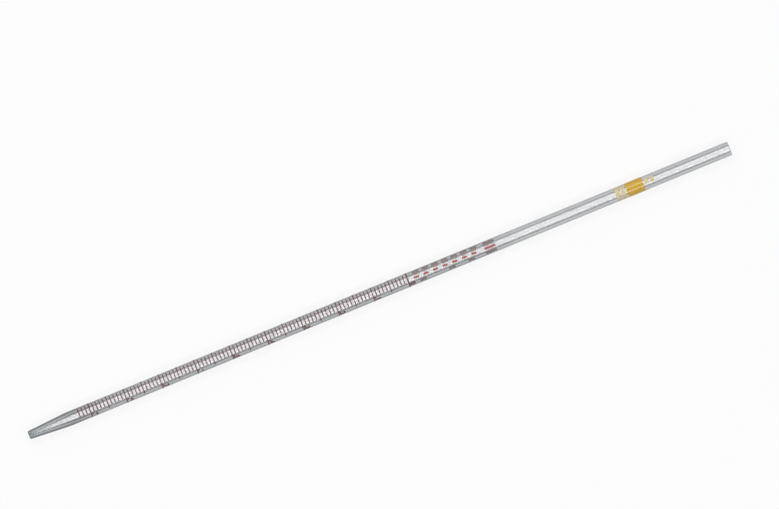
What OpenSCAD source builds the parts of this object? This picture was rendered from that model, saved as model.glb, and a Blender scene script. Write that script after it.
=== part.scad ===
// Serological pipette, 1 ml in steps of 0.01 ml, drawn from thick-walled glass tube.
// It lies on its side along X: the tip points to -X, the suction end to +X, and the scale
// faces up. Z = 0 is the surface it lies on, and no enamel reaches down to it.
//
// The tube, its marks and its colour code are all described standing on the tip: height along
// the tube from the tip, and an angle round the tube that is 0 in the middle of the scale.

/* [Tube] */
// Overall length, from the tip to the suction end
length = 270; // [250:1:360]
// Outer diameter of the tube
tube_d = 5.2; // [4.6:0.1:7]
// Diameter of the measuring bore, which sets how far apart the marks stand
bore_d = 3.06; // [2.9:0.02:3.5]
// Fire-polished rounding on each edge of the suction end
mouth_round = 0.35; // [0.1:0.05:0.5]

/* [Tip] */
// Length of the drawn-down taper outside
taper_len = 14.7; // [10:0.1:24]
// Outer diameter of the taper at the tip, before its edge is rounded
tip_d = 3.0; // [2.4:0.1:4]
// Rounding on the outer edge of the tip
tip_round = 0.5; // [0.1:0.05:0.6]
// Diameter of the orifice, which sets the delivery time
orifice_d = 1.0; // [0.7:0.05:1.4]
// Length of the straight orifice
orifice_len = 1.2; // [0.5:0.1:3]
// Length of the taper inside, from the orifice to the measuring bore
bore_taper_len = 17.1; // [12:0.1:24]
// Blend radius where the tapers run into the straight tube, outside and inside
shoulder_r = 60; // [20:5:90]

/* [Scale] */
// Volume from the zero mark down to the tip, in microlitres
capacity = 1000; // [800:10:1200]
// Volume between two marks, in microlitres
division = 10; // [10:1:20]
// Width of a mark along the tube
mark_w = 0.4; // [0.2:0.02:0.6]
// Width of the zero mark along the tube
zero_mark_w = 0.52; // [0.3:0.02:0.7]
// Angle at which every short mark ends, on the side of the numbers
short_to = 20; // [10:1:40]
// Angle that a short mark covers
short_span = 72; // [50:1:90]
// Angle at which a middle mark ends, on the side of the numbers
middle_to = 44; // [42:1:70]
// Angle that a middle mark covers
middle_span = 150; // [120:1:170]
// Angle that a long mark covers, centred on the scale
long_span = 324; // [270:1:330]

/* [Enamel] */
// Height of the fused enamel above the glass
enamel = 0.04; // [0.02:0.01:0.1]

/* [Inscription bars] */
// Distance from the zero mark to the first bar
bars_gap = 2.3; // [1:0.1:4]
// Length of a bar along the tube
bar_len = 2.5; // [1.5:0.1:3]
// Distance from one bar to the next in the upper row
bar_pitch = 3.7; // [3.2:0.1:4.2]
// Angle that a bar of the upper row covers
upper_span = 42; // [30:1:44]
// Angle of the upper row from the middle of the scale
upper_angle = 38; // [36:1:46]
// Angle that a bar of the lower row covers
lower_span = 30; // [16:1:32]
// Angle of the lower row from the middle of the scale
lower_angle = 40; // [38:1:50]
// Angle that an accent bar covers, in the row between them
accent_span = 18; // [8:1:28]
// Angle of that row from the middle of the scale
accent_angle = 2; // [0:1:4]
// Length of an accent bar along the tube
accent_len = 1.9; // [1:0.1:2.4]
// Length of the last bar in the outer rows
end_bar_len = 4.2; // [3:0.1:5]

/* [Colour code] */
// Distance from the suction end to the colour band
band_to_mouth = 33.3; // [25:0.1:45]
// Length of the colour band along the tube
band_len = 6.5; // [5:0.1:10]
// Angle between the two ends of the colour band, on the side opposite the scale
band_gap = 24; // [16:1:36]
// Gap between the colour band and the stripes beside it
stripe_gap = 0.6; // [0.3:0.05:1.5]
// Length of one stripe along the tube
stripe_len = 1.5; // [0.8:0.05:1.6]
// Distance from one stripe to the next
stripe_pitch = 2; // [1.8:0.05:3]
// Angle that the stripes cover on the side of the scale
stripe_span = 150; // [120:1:170]
// Angle that the stripes cover on the side of the suction end
short_stripe_span = 46; // [30:1:60]

/* [Hidden] */
$fn = 96;

tube_r = tube_d / 2;
bore_r = bore_d / 2;
tip_r = tip_d / 2;
orifice_r = orifice_d / 2;
bore_from = orifice_len + bore_taper_len;
// Small break of the edge inside the tip
orifice_round = 0.12;

// The scale follows from the bore: the taper holds the last drops and the straight bore the rest.
bore_area = PI * bore_r * bore_r;
taper_volume = PI * bore_taper_len * (bore_r * bore_r + bore_r * orifice_r + orifice_r * orifice_r) / 3;
tip_volume = taper_volume + PI * orifice_r * orifice_r * orifice_len;
zero_z = bore_from + (capacity - tip_volume) / bore_area;
mark_pitch = division / bore_area;
marks_per_number = 10;
// Marks stand only where the tube is straight inside and outside.
taper_turn = atan2(tube_r - tip_r, taper_len);
shoulder_end = max(taper_len + shoulder_r * tan(taper_turn / 2), bore_from);
last_mark = floor((zero_z - shoulder_end - mark_w) / mark_pitch);

// Bars in the upper row, and where the sparser bars of the lower row stand, in steps of the upper one
upper_bars = 7;
lower_bars = [0.5, 3.5, 5.5];
bars_z = zero_z + bars_gap;
end_bar_z = bars_z + upper_bars * bar_pitch + bar_len / 2;

// Lower edge of the colour band, and the stripes on each side of it
band_z = length - band_to_mouth - band_len;
stripes = 2;
// Middle of the short stripes, a little off the middle of the scale
short_stripe_middle = -14;

// Unit vector along v
function unit(v) = v / norm(v);

// Points of an arc of radius r that rounds the corner b between a and c
function rounded(a, b, c, r) =
    let (
        u = unit(a - b),
        v = unit(c - b),
        half = acos(u * v) / 2,
        turn = 180 - 2 * half,
        steps = max(4, ceil(turn / 15)),
        centre = b + unit(u + v) * r / sin(half),
        start = b + u * r / tan(half) - centre,
        side = sign(u.x * v.y - u.y * v.x)
    )
    [for (i = [0 : steps])
        let (swing = -side * turn * i / steps)
        centre + [
            start.x * cos(swing) - start.y * sin(swing),
            start.x * sin(swing) + start.y * cos(swing)
        ]];

// Outline whose corners are [radius, height, rounding]
function outline(corners) =
    let (count = len(corners))
    [for (i = [0 : count - 1])
        let (
            before = corners[(i + count - 1) % count],
            here = corners[i],
            after = corners[(i + 1) % count]
        )
        each rounded([before[0], before[1]], [here[0], here[1]], [after[0], after[1]], here[2])];

// Lays what stands on the tip down along X, with its scale facing up
module lay_down() {
    translate([-length / 2, 0, tube_r])
        rotate([0, 90, 0])
            rotate([0, 0, 180])
                children();
}

// Patch of enamel on the tube: its lower edge, its length along the tube, the angle of its middle
// and the angle that it covers
module patch(z, len, middle, span) {
    rotate([0, 0, middle - span / 2])
        rotate_extrude(angle = span)
            translate([tube_r, z])
                square([enamel, len]);
}

// Scale mark whose middle line is at height z
module mark(z, width, middle, span) {
    patch(z - width / 2, width, middle, span);
}

// The one-piece glass: tip, measuring bore and suction end
module glass_tube() {
    color([0.80, 0.86, 0.85, 0.45])
        lay_down()
            rotate_extrude()
                polygon(outline([
                    [orifice_r, 0, orifice_round],
                    [tip_r, 0, tip_round],
                    [tube_r, taper_len, shoulder_r],
                    [tube_r, length, mouth_round],
                    [bore_r, length, mouth_round],
                    [bore_r, bore_from, shoulder_r],
                    [orifice_r, orifice_len, shoulder_r / 6]
                ]));
}

// The zero mark and every mark below it: long at each number, middling halfway and short elsewhere
module graduation_marks() {
    color([0.27, 0.13, 0.12])
        lay_down()
            for (i = [0 : last_mark]) {
                z = zero_z - i * mark_pitch;
                step = i % marks_per_number;
                if (i == 0)
                    mark(z, zero_mark_w, 0, long_span);
                else if (step == 0)
                    mark(z, mark_w, 0, long_span);
                else if (step == marks_per_number / 2)
                    mark(z, mark_w, middle_to - middle_span / 2, middle_span);
                else
                    mark(z, mark_w, short_to - short_span / 2, short_span);
            }
}

// Plain bars where the inscription stands: a full row above, a sparser one below, and an end bar in each
module inscription_bars() {
    color([0.33, 0.22, 0.20])
        lay_down() {
            for (i = [0 : upper_bars - 1])
                patch(bars_z + i * bar_pitch, bar_len, -upper_angle, upper_span);
            for (i = lower_bars)
                patch(bars_z + i * bar_pitch, bar_len, lower_angle, lower_span);
            patch(end_bar_z, end_bar_len, -upper_angle, upper_span);
            patch(end_bar_z, end_bar_len, lower_angle, lower_span);
        }
}

// Short red bars in the row between, and a long one beside the end bars
module accent_bars() {
    color([0.62, 0.20, 0.18])
        lay_down() {
            for (i = [0 : upper_bars - 1])
                patch(bars_z + i * bar_pitch, accent_len, accent_angle, accent_span);
            patch(end_bar_z, end_bar_len, accent_angle, accent_span);
        }
}

// The yellow band that codes the capacity. Its ends don't quite meet, and the pipette lies on the
// gap between them, so they keep it from rolling.
module colour_band() {
    color([0.80, 0.58, 0.12])
        lay_down()
            patch(band_z, band_len, 0, 360 - band_gap);
}

// Pale stripes on both sides of the band
module code_stripes() {
    color([0.88, 0.78, 0.46])
        lay_down()
            for (i = [0 : stripes - 1]) {
                patch(band_z - stripe_gap - stripe_len - i * stripe_pitch, stripe_len, 0, stripe_span);
                patch(band_z + band_len + stripe_gap + i * stripe_pitch, stripe_len,
                    short_stripe_middle, short_stripe_span);
            }
}

glass_tube();
graduation_marks();
inscription_bars();
accent_bars();
colour_band();
code_stripes();
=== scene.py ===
import math

import bmesh
import bpy
from mathutils import Matrix, Vector


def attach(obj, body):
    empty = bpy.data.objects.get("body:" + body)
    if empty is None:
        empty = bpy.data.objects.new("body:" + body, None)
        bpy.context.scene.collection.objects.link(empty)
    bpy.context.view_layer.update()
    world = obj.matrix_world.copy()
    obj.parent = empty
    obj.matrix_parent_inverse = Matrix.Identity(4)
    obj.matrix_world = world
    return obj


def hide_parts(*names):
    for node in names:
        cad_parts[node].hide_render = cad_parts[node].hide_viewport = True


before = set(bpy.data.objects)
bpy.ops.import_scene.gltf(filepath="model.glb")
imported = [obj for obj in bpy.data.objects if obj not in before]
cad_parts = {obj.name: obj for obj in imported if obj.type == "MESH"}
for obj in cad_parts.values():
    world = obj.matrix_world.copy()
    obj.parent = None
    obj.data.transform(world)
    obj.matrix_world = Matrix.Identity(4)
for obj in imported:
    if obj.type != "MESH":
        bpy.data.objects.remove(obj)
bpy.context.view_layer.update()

# ---------------------------------------------------------------- the part's dimensions, in metres
# They are those of the part's source. Angles are round the tube, in degrees from the middle of the
# scale.

MM = 0.001
LENGTH = 270 * MM
TUBE_R = 2.6 * MM
BORE_R = 1.53 * MM
MOUTH_ROUND = 0.35 * MM
TAPER_LEN = 14.7 * MM
TIP_R = 1.5 * MM
TIP_ROUND = 0.5 * MM
ORIFICE_R = 0.5 * MM
ORIFICE_ROUND = 0.12 * MM
ORIFICE_LEN = 1.2 * MM
BORE_TAPER_LEN = 17.1 * MM
SHOULDER_R = 60 * MM
ORIFICE_SHOULDER_R = SHOULDER_R / 6
BORE_FROM = ORIFICE_LEN + BORE_TAPER_LEN

# The scale follows from the bore, as it does there: 1000 microlitres in steps of 10
CAPACITY = 1000 * MM ** 3
DIVISION = 10 * MM ** 3
BORE_AREA = math.pi * BORE_R ** 2
TIP_VOLUME = (math.pi * BORE_TAPER_LEN * (BORE_R ** 2 + BORE_R * ORIFICE_R + ORIFICE_R ** 2) / 3
              + math.pi * ORIFICE_R ** 2 * ORIFICE_LEN)
ZERO_Z = BORE_FROM + (CAPACITY - TIP_VOLUME) / BORE_AREA
MARK_PITCH = DIVISION / BORE_AREA
MARKS_PER_NUMBER = 10
LAST_MARK = 93
MARK_W, ZERO_MARK_W = 0.4 * MM, 0.52 * MM
SHORT = (-52, 20)                   # the angles from which to which a mark runs
MIDDLE = (-106, 44)
LONG = (-162, 162)
ENAMEL = 0.04 * MM                  # its height on the glass

# Plain bars where the photo has an inscription
BARS_GAP = 2.3 * MM
BARS_Z = ZERO_Z + BARS_GAP
BAR_LEN, BAR_PITCH = 2.5 * MM, 3.7 * MM
UPPER_BARS, UPPER_ROW = 7, (-59, -17)
LOWER_BARS, LOWER_ROW = (0.5, 3.5, 5.5), (25, 55)
ACCENT_LEN, ACCENT_ROW = 1.9 * MM, (-7, 11)
END_BAR_Z, END_BAR_LEN = BARS_Z + UPPER_BARS * BAR_PITCH + BAR_LEN / 2, 4.2 * MM

BAND_LEN, BAND_FROM_MOUTH = 6.5 * MM, 33.3 * MM
BAND_Z = LENGTH - BAND_FROM_MOUTH - BAND_LEN
BAND_GAP = 24
STRIPE_GAP, STRIPE_LEN, STRIPE_PITCH, STRIPES = 0.6 * MM, 1.5 * MM, 2 * MM, 2
STRIPE_SPAN, SHORT_STRIPE_SPAN, SHORT_STRIPE_MIDDLE = 150, 46, -14

# What only this script has: softened enamel that is rooted in the glass, and the numbers
ENAMEL_SINK = 0.015 * MM            # its root in the glass, so that the two are in contact
EDGE = 0.012 * MM                   # rounding of its edge
EDGE_PART = 3                       # a pad narrower than this many roundings gets smaller ones
END_LIFT = 0.35                     # the share of its height that a pad has at its very ends
MARK_CORNER, BAR_CORNER, ACCENT_CORNER = 0.1 * MM, 0.25 * MM, 0.2 * MM
BAND_CORNER, STRIPE_CORNER = 0.15 * MM, 0.2 * MM
DIGIT_H = 2.1 * MM
DIGIT_GAP = 0.32 * MM               # from the mark's middle to the number's foot
DIGIT_FROM = 25                     # the angle where a number starts
DIGIT_WEIGHT = 0.06                 # how far the strokes are thickened, of a letter one unit tall

# ---------------------------------------------------------------- how finely the meshes are made

GLASS_SEGMENTS = 160                # round the tube
FILLET_STEP = 6                     # degrees to a segment of a rounded corner of the glass
FILLET_LEAST = 6                    # the fewest segments of such a corner
ARC_STEP = 2.5                      # degrees between the cross-sections of the enamel
CORNER_STEPS = 5                    # steps across each rounded corner of a pad of enamel
FONT_STEPS = 6                      # segments to a curve of a number's outline
MERGE = 1e-5                        # points of a number that are nearer than this are one
SMOOTH_ANGLE, GLASS_SMOOTH_ANGLE = 35, 40


def place(z, r, angle):
    """Point of the laid-down tube: z along it from the tip, r from its axis, angle in degrees from
    the middle of the scale, which faces up, towards -Y."""
    a = math.radians(angle)
    return Vector((z - LENGTH / 2, -r * math.sin(a), TUBE_R + r * math.cos(a)))


def finish_mesh(bm, name, smooth_angle=SMOOTH_ANGLE):
    bmesh.ops.recalc_face_normals(bm, faces=bm.faces)
    mesh = bpy.data.meshes.new(name)
    bm.to_mesh(mesh)
    bm.free()
    for poly in mesh.polygons:
        poly.use_smooth = True
    mesh.set_sharp_from_angle(angle=math.radians(smooth_angle))
    return add_object(name, mesh)


def add_object(name, data):
    added = bpy.data.objects.new(name, data)
    bpy.context.scene.collection.objects.link(added)
    return added


# ---------------------------------------------------------------- the glass

def rounded(a, b, c, r):
    """Points of the arc of radius r that rounds the corner b between a and c."""
    u, v = (a - b).normalized(), (c - b).normalized()
    half = math.acos(max(-1, min(1, u.dot(v)))) / 2
    turn = math.pi - 2 * half
    count = max(FILLET_LEAST, math.ceil(math.degrees(turn) / FILLET_STEP))
    centre = b + (u + v).normalized() * r / math.sin(half)
    start = b + u * r / math.tan(half) - centre
    side = 1 if u.x * v.y - u.y * v.x > 0 else -1
    return [centre + Matrix.Rotation(-side * turn * i / count, 2) @ start for i in range(count + 1)]


def glass_outline():
    """The wall's section as points (radius, distance from the tip), once round."""
    corners = [
        (ORIFICE_R, 0, ORIFICE_ROUND),
        (TIP_R, 0, TIP_ROUND),
        (TUBE_R, TAPER_LEN, SHOULDER_R),
        (TUBE_R, LENGTH, MOUTH_ROUND),
        (BORE_R, LENGTH, MOUTH_ROUND),
        (BORE_R, BORE_FROM, SHOULDER_R),
        (ORIFICE_R, ORIFICE_LEN, ORIFICE_SHOULDER_R),
    ]
    points = []
    for i, (r, z, fillet) in enumerate(corners):
        before, after = corners[i - 1], corners[(i + 1) % len(corners)]
        points += rounded(Vector(before[:2]), Vector((r, z)), Vector(after[:2]), fillet)
    return points


def make_glass():
    bm = bmesh.new()
    turns = [360 * s / GLASS_SEGMENTS for s in range(GLASS_SEGMENTS)]
    rings = [[bm.verts.new(place(p.y, p.x, turn)) for turn in turns] for p in glass_outline()]
    for i, ring in enumerate(rings):
        onward = rings[(i + 1) % len(rings)]
        for s in range(GLASS_SEGMENTS):
            t = (s + 1) % GLASS_SEGMENTS
            bm.faces.new((ring[s], ring[t], onward[t], onward[s]))
    return finish_mesh(bm, "drawn_glass", GLASS_SMOOTH_ANGLE)


# ---------------------------------------------------------------- enamel

def patch(bm, z_from, z_to, angle_from, angle_to, corner):
    """Curved pad of enamel with rounded corners, lofted round the tube."""
    arc = math.radians(angle_to - angle_from) * TUBE_R
    corner = min(corner, arc / 2, (z_to - z_from) / 2)
    near = math.degrees(corner / TUBE_R)
    straight = angle_to - angle_from - 2 * near
    turns = [near * (1 - math.cos(math.pi / 2 * k / CORNER_STEPS)) for k in range(CORNER_STEPS + 1)]
    count = max(1, math.ceil(straight / ARC_STEP))
    angles = [angle_from + turn for turn in turns]
    angles += [angle_from + near + straight * k / count for k in range(1, count)]
    angles += [angle_to - turn for turn in reversed(turns)]
    low, high = TUBE_R - ENAMEL_SINK, TUBE_R + ENAMEL
    rings = []
    for angle in angles:
        reach = math.radians(min(angle - angle_from, angle_to - angle)) * TUBE_R
        short = corner - math.sqrt(max(0, corner ** 2 - max(0, corner - reach) ** 2))
        lo, hi = z_from + short, z_to - short
        lift = min(1, END_LIFT + reach / EDGE)
        top = low + (high - low) * lift
        edge = min(EDGE, (hi - lo) / EDGE_PART)
        section = ((lo, low), (hi, low), (hi, top - edge * lift),
                   (hi - edge, top), (lo + edge, top), (lo, top - edge * lift))
        rings.append([bm.verts.new(place(z, r, angle)) for z, r in section])
    for one, two in zip(rings, rings[1:]):
        for k in range(len(one)):
            onward = (k + 1) % len(one)
            bm.faces.new((one[k], one[onward], two[onward], two[k]))
    bm.faces.new(rings[0])
    bm.faces.new(rings[-1][::-1])


def make_marks():
    bm = bmesh.new()
    for i in range(LAST_MARK + 1):
        z = ZERO_Z - i * MARK_PITCH
        step = i % MARKS_PER_NUMBER
        width = ZERO_MARK_W if i == 0 else MARK_W
        span = LONG if step == 0 else MIDDLE if step == MARKS_PER_NUMBER // 2 else SHORT
        patch(bm, z - width / 2, z + width / 2, *span, MARK_CORNER)
    return finish_mesh(bm, "scale_marks")


def make_bars():
    bm = bmesh.new()
    for steps, row in ((range(UPPER_BARS), UPPER_ROW), (LOWER_BARS, LOWER_ROW)):
        for i in steps:
            z = BARS_Z + i * BAR_PITCH
            patch(bm, z, z + BAR_LEN, *row, BAR_CORNER)
        patch(bm, END_BAR_Z, END_BAR_Z + END_BAR_LEN, *row, BAR_CORNER)
    return finish_mesh(bm, "plain_bars")


def make_accents():
    bm = bmesh.new()
    for i in range(UPPER_BARS):
        z = BARS_Z + i * BAR_PITCH
        patch(bm, z, z + ACCENT_LEN, *ACCENT_ROW, ACCENT_CORNER)
    patch(bm, END_BAR_Z, END_BAR_Z + END_BAR_LEN, *ACCENT_ROW, ACCENT_CORNER)
    return finish_mesh(bm, "red_bars")


def make_band():
    bm = bmesh.new()
    reach = 180 - BAND_GAP / 2
    patch(bm, BAND_Z, BAND_Z + BAND_LEN, -reach, reach, BAND_CORNER)
    return finish_mesh(bm, "yellow_band")


def make_stripes():
    bm = bmesh.new()
    short_from = SHORT_STRIPE_MIDDLE - SHORT_STRIPE_SPAN / 2
    short_to = SHORT_STRIPE_MIDDLE + SHORT_STRIPE_SPAN / 2
    for i in range(STRIPES):
        below = BAND_Z - STRIPE_GAP - STRIPE_LEN - i * STRIPE_PITCH
        above = BAND_Z + BAND_LEN + STRIPE_GAP + i * STRIPE_PITCH
        patch(bm, below, below + STRIPE_LEN, -STRIPE_SPAN / 2, STRIPE_SPAN / 2, STRIPE_CORNER)
        patch(bm, above, above + STRIPE_LEN, short_from, short_to, STRIPE_CORNER)
    return finish_mesh(bm, "pale_stripes")


# ---------------------------------------------------------------- numbers

def flat_number(text):
    """The outline of a number lying flat: x to the right, y up, its foot at y = 0, one unit tall."""
    curve = bpy.data.curves.new("number", "FONT")
    curve.body = text
    curve.resolution_u = FONT_STEPS
    curve.offset = DIGIT_WEIGHT
    maker = add_object("number", curve)
    bpy.context.view_layer.update()
    bm = bmesh.new()
    bm.from_mesh(maker.to_mesh())
    maker.to_mesh_clear()
    bpy.data.objects.remove(maker)
    bpy.data.curves.remove(curve)
    bmesh.ops.remove_doubles(bm, verts=bm.verts, dist=MERGE)
    xs, ys = [v.co.x for v in bm.verts], [v.co.y for v in bm.verts]
    tall = max(ys) - min(ys)
    for v in bm.verts:
        v.co = Vector(((v.co.x - min(xs)) / tall, (v.co.y - min(ys)) / tall, 0))
    return bm


def make_numbers():
    """Plain numbers beside the long marks, wrapped on the tube and read with the tip down."""
    whole = bmesh.new()
    step = math.radians(ARC_STEP) * TUBE_R / DIGIT_H
    for i in range(0, LAST_MARK + 1, MARKS_PER_NUMBER):
        bm = flat_number("0" if i == 0 else "." + str(i // MARKS_PER_NUMBER))
        wide = max(v.co.x for v in bm.verts)
        for k in range(1, math.ceil(wide / step)):
            geometry = bm.verts[:] + bm.edges[:] + bm.faces[:]
            bmesh.ops.bisect_plane(bm, geom=geometry, plane_co=(k * step, 0, 0), plane_no=(1, 0, 0))
        raised = bmesh.ops.extrude_face_region(bm, geom=bm.faces[:])["geom"]
        top = {v for v in raised if isinstance(v, bmesh.types.BMVert)}
        foot = ZERO_Z - i * MARK_PITCH + DIGIT_GAP
        for v in bm.verts:
            angle = DIGIT_FROM + math.degrees(v.co.x * DIGIT_H / TUBE_R)
            r = TUBE_R + ENAMEL if v in top else TUBE_R - ENAMEL_SINK
            v.co = place(foot + v.co.y * DIGIT_H, r, angle)
        mesh = bpy.data.meshes.new("number")
        bmesh.ops.recalc_face_normals(bm, faces=bm.faces)
        bm.to_mesh(mesh)
        bm.free()
        whole.from_mesh(mesh)
        bpy.data.meshes.remove(mesh)
    return finish_mesh(whole, "scale_numbers")


# ---------------------------------------------------------------- materials

def srgb(r, g, b):
    """Colour from 0 to 255 values as seen on a screen."""
    shares = (r / 255, g / 255, b / 255)
    return tuple(c / 12.92 if c <= 0.04045 else ((c + 0.055) / 1.055) ** 2.4 for c in shares) + (1,)


def feed(tree, value, socket):
    """Link a socket where the value is another node's output, and otherwise set it."""
    if isinstance(value, bpy.types.NodeSocket):
        tree.links.new(value, socket)
    else:
        socket.default_value = value


def mix_colour(tree, factor, one, two):
    """Colour one where the factor is 0 and two where it is 1."""
    node = tree.nodes.new("ShaderNodeMix")
    node.data_type = "RGBA"
    for value, name in ((factor, "Factor"), (one, "A"), (two, "B")):
        feed(tree, value, node.inputs[name])
    return node.outputs["Result"]


def maths(tree, operation, one, two):
    node = tree.nodes.new("ShaderNodeMath")
    node.operation = operation
    for socket, value in zip(node.inputs, (one, two)):
        feed(tree, value, socket)
    return node.outputs[0]


class Shader:
    """A material with one Principled shader, built node by node."""

    def __init__(self, name):
        self.material = bpy.data.materials.new(name)
        self.material.use_nodes = True
        self.tree = self.material.node_tree
        self.principled = self.tree.nodes["Principled BSDF"]
        self.output = self.tree.nodes["Material Output"]
        self.coordinates = self.tree.nodes.new("ShaderNodeTexCoord").outputs["Object"]

    def set(self, **values):
        """Give sockets of the Principled shader a plain value or another node's output."""
        for name, value in values.items():
            feed(self.tree, value, self.principled.inputs[name.replace("_", " ")])

    def noise(self, scale, detail=3, roughness=0.5):
        """Noise whose features are about 1 / scale metres along each axis."""
        stretch = self.tree.nodes.new("ShaderNodeMapping")
        feed(self.tree, self.coordinates, stretch.inputs["Vector"])
        feed(self.tree, scale, stretch.inputs["Scale"])
        node = self.tree.nodes.new("ShaderNodeTexNoise")
        feed(self.tree, stretch.outputs["Vector"], node.inputs["Vector"])
        for name, value in (("Scale", 1), ("Detail", detail), ("Roughness", roughness)):
            feed(self.tree, value, node.inputs[name])
        return node.outputs["Fac"]

    def ramp(self, source, stops):
        """Colours along the source from 0 to 1, from stops (position, colour)."""
        node = self.tree.nodes.new("ShaderNodeValToRGB")
        elements = node.color_ramp.elements
        while len(elements) < len(stops):
            elements.new(0.5)
        for element, (position, colour) in zip(elements, stops):
            element.position = position
            element.color = colour
        feed(self.tree, source, node.inputs["Fac"])
        return node.outputs["Color"]

    def remap(self, source, low, high, to_low, to_high):
        """The source's range from low to high made to_low to to_high, and held there outside it."""
        node = self.tree.nodes.new("ShaderNodeMapRange")
        for name, value in (("Value", source), ("From Min", low), ("From Max", high),
                            ("To Min", to_low), ("To Max", to_high)):
            feed(self.tree, value, node.inputs[name])
        return node.outputs["Result"]

    def facing(self, blend):
        """0 where the surface is looked at straight on, 1 where it is grazed."""
        node = self.tree.nodes.new("ShaderNodeLayerWeight")
        feed(self.tree, blend, node.inputs["Blend"])
        return node.outputs["Facing"]

    def axis(self, name):
        node = self.tree.nodes.new("ShaderNodeSeparateXYZ")
        feed(self.tree, self.coordinates, node.inputs[0])
        return node.outputs[name]

    def blend(self, factor, one, two):
        return mix_colour(self.tree, factor, one, two)

    def bump(self, source, depth):
        node = self.tree.nodes.new("ShaderNodeBump")
        for name, value in (("Strength", 1), ("Distance", depth), ("Height", source)):
            feed(self.tree, value, node.inputs[name])
        self.set(Normal=node.outputs["Normal"])


GLASS_IOR = 1.474
# The glass seen straight on, greener and darker towards the tip: (share of the way from the tip to
# TINT_END, colour)
GLASS_TIP, GLASS_TAPER = srgb(178, 192, 193), srgb(216, 219, 221)
GLASS_SHOULDER, GLASS_CLEAR = srgb(242, 243, 244), srgb(244, 244, 245)
TINT_END = 22 * MM
GLASS_TINTS = [(0.0, GLASS_TIP), (0.14, GLASS_TAPER), (0.45, GLASS_SHOULDER), (1.0, GLASS_CLEAR)]
# Painted shade on the glass, darker where the line of sight grazes it and darker along the scale:
# (share of the way from the tip to the mouth, colour)
EDGE_SHADE_TIP, EDGE_SHADE_TAPER = srgb(56, 64, 64), srgb(62, 66, 68)
EDGE_SHADE_SCALE, EDGE_SHADE_CLEAR = srgb(132, 135, 138), srgb(162, 166, 167)
EDGE_SHADE_TINTS = [(0.0, EDGE_SHADE_TIP), (0.06, EDGE_SHADE_TAPER), (0.11, EDGE_SHADE_SCALE), (0.64, EDGE_SHADE_SCALE),
              (0.7, EDGE_SHADE_CLEAR)]
EDGE_SHADE_BLEND = 0.91                   # how far in from there the painted shade reaches
ABSORB_COLOUR, ABSORB_DENSITY = srgb(206, 220, 220), 25
# Fine lines along the tube from drawing it: a tint and a relief
DRAW_LINES = (6, 900, 900)
LINE_DETAIL = 2
LINE_LEVELS = (0.56, 0.74)          # the levels of noise between which a line's tint comes in
LINE_TINT = srgb(238, 240, 242)
LINE_DEPTH = 0.0008 * MM
# Faint dull areas of its surface
HAZE, HAZE_DETAIL = (120, 500, 500), 4
HAZE_LEVELS, HAZE_ROUGHNESS = (0.35, 0.75), (0.0, 0.02)


def glass_material():
    glass = Shader("borosilicate")
    lines = glass.noise(DRAW_LINES, LINE_DETAIL)
    along = glass.axis("X")
    tip, mouth = -LENGTH / 2, LENGTH / 2
    body = glass.ramp(glass.remap(along, tip, tip + TINT_END, 0, 1), GLASS_TINTS)
    lined = glass.blend(glass.remap(lines, *LINE_LEVELS, 0, 1), body, LINE_TINT)
    # painted shade: the glass's colour darkens towards grazing angles, standing in for the dark
    # surroundings seen through its edges
    edge = glass.ramp(glass.remap(along, tip, mouth, 0, 1), EDGE_SHADE_TINTS)
    haze = glass.noise(HAZE, HAZE_DETAIL)
    # the base colour takes the painted edge shade where the surface is grazed
    glass.set(Transmission_Weight=1.0, IOR=GLASS_IOR,
              Base_Color=glass.blend(glass.facing(EDGE_SHADE_BLEND), lined, edge),
              Roughness=glass.remap(haze, *HAZE_LEVELS, *HAZE_ROUGHNESS))
    glass.bump(lines, LINE_DEPTH)
    absorb = glass.tree.nodes.new("ShaderNodeVolumeAbsorption")
    absorb.inputs["Color"].default_value = ABSORB_COLOUR
    absorb.inputs["Density"].default_value = ABSORB_DENSITY
    feed(glass.tree, absorb.outputs["Volume"], glass.output.inputs["Volume"])
    return glass.material


# Fired enamel: grain in its colour, patches in its gloss, and a fine relief
ENAMEL_IOR = 1.55
GRAIN, GRAIN_DETAIL, GRAIN_ROUGHNESS = (2500, 2500, 2500), 4, 0.6
GLOSS_PATCHES, GLOSS_DETAIL = (4000, 4000, 4000), 2
RELIEF, RELIEF_DETAIL, RELIEF_DEPTH = (6000, 6000, 6000), 3, 0.006 * MM
NOISE_LOW, NOISE_HIGH = 0.3, 0.7    # the levels of noise where a range starts and ends
FIRED_ROUGHNESS, GLOSSY_ROUGHNESS = (0.3, 0.5), (0.12, 0.2)
BROWN = (srgb(80, 33, 31), srgb(106, 47, 44))
GREY_BROWN = (srgb(100, 84, 83), srgb(160, 148, 145))
RED = (srgb(150, 58, 56), srgb(186, 104, 100))
YELLOW = (srgb(200, 151, 18), srgb(224, 183, 46))
PALE_YELLOW = (srgb(204, 187, 134), srgb(222, 209, 166))


def enamel_material(name, colours, roughness=FIRED_ROUGHNESS):
    enamel = Shader(name)
    dark, light = colours
    grain = enamel.noise(GRAIN, GRAIN_DETAIL, GRAIN_ROUGHNESS)
    patches = enamel.noise(GLOSS_PATCHES, GLOSS_DETAIL)
    enamel.set(IOR=ENAMEL_IOR,
               Base_Color=enamel.ramp(grain, [(NOISE_LOW, dark), (NOISE_HIGH, light)]),
               Roughness=enamel.remap(patches, NOISE_LOW, NOISE_HIGH, *roughness))
    enamel.bump(enamel.noise(RELIEF, RELIEF_DETAIL), RELIEF_DEPTH)
    return enamel.material


# ---------------------------------------------------------------- the pieces

def dress(piece, material, slot, *nodes):
    piece.data.materials.append(material)
    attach(piece, "root")
    if nodes:
        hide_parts(*nodes)


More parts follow.
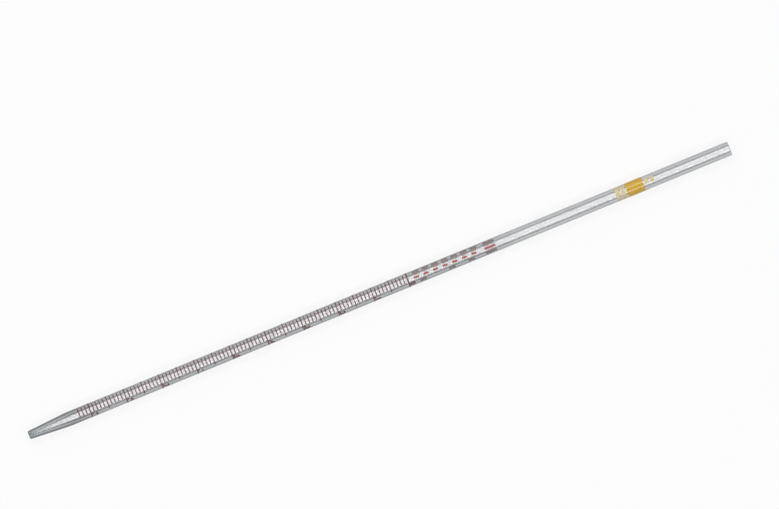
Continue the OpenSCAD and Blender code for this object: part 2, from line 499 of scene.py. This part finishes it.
brown = enamel_material("brown_print", BROWN)
dress(make_glass(), glass_material(), "borosilicate_glass", "glass_tube")
dress(make_marks(), brown, "brown_enamel", "graduation_marks")
dress(make_numbers(), brown, "brown_enamel")
dress(make_bars(), enamel_material("inscription_print", GREY_BROWN),
      "inscription_enamel", "inscription_bars")
dress(make_accents(), enamel_material("red_print", RED), "red_enamel", "accent_bars")
dress(make_band(), enamel_material("yellow_print", YELLOW, GLOSSY_ROUGHNESS),
      "yellow_enamel", "colour_band")
dress(make_stripes(), enamel_material("pale_yellow_print", PALE_YELLOW),
      "pale_yellow_enamel", "code_stripes")

# ---------------------------------------------------------------- camera, straight above

PICTURE_W, PICTURE_H = 779, 509
TURN = math.radians(22.28)          # how far the tube rises to the right in the picture
MM_PER_PIXEL = 270 / 757.25         # the tube's length, in millimetres and in the picture's pixels
MIDDLE_OF_TUBE = (379.3, 291.8)     # where its middle stands in the picture, in pixels
FOCAL_MM, SENSOR_MM = 600, 36       # a long lens, because the photo shows no perspective
CLIP_START, CLIP_END = 0.1, 100

lens = bpy.data.cameras.new("camera")
lens.lens, lens.sensor_width = FOCAL_MM, SENSOR_MM
lens.clip_start, lens.clip_end = CLIP_START, CLIP_END
camera = add_object("camera", lens)
right = Vector((math.cos(TURN), -math.sin(TURN), 0))
up = Vector((math.sin(TURN), math.cos(TURN), 0))
off_x, off_y = PICTURE_W / 2 - MIDDLE_OF_TUBE[0], MIDDLE_OF_TUBE[1] - PICTURE_H / 2
aim = (right * off_x + up * off_y) * MM_PER_PIXEL * MM
height = PICTURE_W * MM_PER_PIXEL * MM / SENSOR_MM * FOCAL_MM
camera.location = aim + Vector((0, 0, TUBE_R + height))
camera.rotation_euler = (0, 0, -TURN)
bpy.context.scene.camera = camera

# ---------------------------------------------------------------- floor and light

WHITE = (1, 1, 1, 1)
FLOOR_SIZE = 30
FLOOR_BELOW = 0.02 * MM             # how far the floor is under the part
FLOOR_COLOUR = (0.5, 0.5, 0.5, 1)   # where it passes light on
FLOOR_SEEN = (0.95, 0.95, 0.95, 1)  # where it is seen
GLOW_SEEN = 0.86                    # the share of that which is plain white and takes no shadow
WORLD_LIGHT = (0.25, 0.255, 0.26, 1)

# Lamps: name, place and size in metres, power in watts
KEY = ("key", (-0.1, 0.95, 0.75), (1.4, 0.9), 3)
FAR = ("far_side", (0, 0.62, 1.0), (1.2, 0.25), 4.8)
NEAR = ("near_side", (0, -0.62, 1.0), (1.2, 0.25), 5.6)


def seen_rays(tree):
    """1 where a surface is seen, straight or by way of gloss or glass, and 0 where it only passes
    light on."""
    path = tree.nodes.new("ShaderNodeLightPath").outputs
    seen = maths(tree, "MAXIMUM", path["Is Camera Ray"], path["Is Glossy Ray"])
    return maths(tree, "MAXIMUM", seen, path["Is Transmission Ray"])


def floor_material():
    material = bpy.data.materials.new("floor")
    material.use_nodes = True
    tree = material.node_tree
    tree.nodes.clear()
    seen = seen_rays(tree)
    diffuse = tree.nodes.new("ShaderNodeBsdfDiffuse")
    feed(tree, mix_colour(tree, seen, FLOOR_COLOUR, FLOOR_SEEN), diffuse.inputs["Color"])
    glow = tree.nodes.new("ShaderNodeEmission")
    glow.inputs["Color"].default_value = WHITE
    mixed = tree.nodes.new("ShaderNodeMixShader")
    feed(tree, maths(tree, "MULTIPLY", seen, GLOW_SEEN), mixed.inputs[0])
    feed(tree, diffuse.outputs[0], mixed.inputs[1])
    feed(tree, glow.outputs[0], mixed.inputs[2])
    output = tree.nodes.new("ShaderNodeOutputMaterial")
    feed(tree, mixed.outputs[0], output.inputs["Surface"])
    return material


def make_floor():
    half = FLOOR_SIZE / 2
    corners = [(-half, -half), (half, -half), (half, half), (-half, half)]
    mesh = bpy.data.meshes.new("floor")
    mesh.from_pydata([(x, y, -FLOOR_BELOW) for x, y in corners], [], [(0, 1, 2, 3)])
    mesh.materials.append(floor_material())
    return add_object("floor", mesh)


def light_world():
    world = bpy.data.worlds.new("studio")
    bpy.context.scene.world = world
    world.use_nodes = True
    tree = world.node_tree
    shown = mix_colour(tree, seen_rays(tree), WORLD_LIGHT, WHITE)
    feed(tree, shown, tree.nodes["Background"].inputs["Color"])


def soft_light(name, spot, size, power):
    """Area lamp that looks at the middle of the part."""
    lamp = bpy.data.lights.new(name, "AREA")
    lamp.shape = "RECTANGLE"
    lamp.size, lamp.size_y = size
    lamp.energy = power
    light = add_object(name, lamp)
    light.location = spot
    light.rotation_euler = (Vector((0, 0, 0)) - Vector(spot)).to_track_quat("-Z", "Y").to_euler()


floor = make_floor()
light_world()
for lamp in (KEY, FAR, NEAR):
    soft_light(*lamp)

bpy.context.scene.view_settings.view_transform = "Standard"
